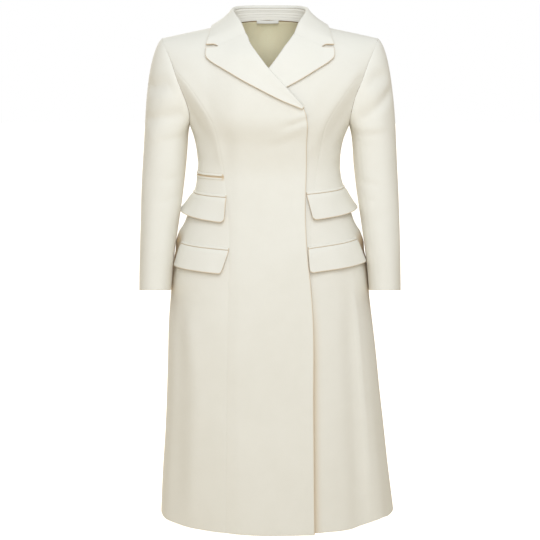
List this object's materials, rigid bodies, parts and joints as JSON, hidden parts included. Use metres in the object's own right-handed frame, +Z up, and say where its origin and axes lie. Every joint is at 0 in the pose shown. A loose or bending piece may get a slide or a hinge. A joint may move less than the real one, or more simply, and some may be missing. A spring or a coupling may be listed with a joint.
{
  "type": "long tailored coat",
  "caption": "Long fitted coat with notched lapels, a crossed front, flap pockets, set-in sleeves and a flared skirt, filled out as worn and open at neck, cuffs and hem.",
  "frame": {"origin": "midway between the two side neck points, where the wearer's shoulders carry the coat", "axes": "+Z up, the coat faces -Y, +X is on the wearer's left"},
  "size_m": [0.567, 0.3529, 1.1225],
  "materials": {
    "wool": "matt brushed wool, ivory",
    "lining": "smooth twill lining, beige"
  },
  "bodies": {
    "root": {"back_left": "wool", "back_lining": "lining", "back_right": "wool", "collar_fall": "wool", "collar_stand": "wool", "flap_lower_left": "wool", "flap_lower_right": "wool", "flap_upper_left": "wool", "flap_upper_right": "wool", "front_left": "wool", "front_right": "wool", "hanger_loop": "wool", "lapel_left": "wool", "lapel_right": "wool", "side_front_left": "wool", "side_front_right": "wool", "ticket_welt_lower": "wool", "ticket_welt_upper": "wool", "under_sleeve_left": "wool", "under_sleeve_right": "wool", "upper_sleeve_left": "wool", "upper_sleeve_right": "wool", "welt_lower_left": "wool", "welt_lower_right": "wool", "welt_upper_left": "wool", "welt_upper_right": "wool"}
  },
  "joints": []
}
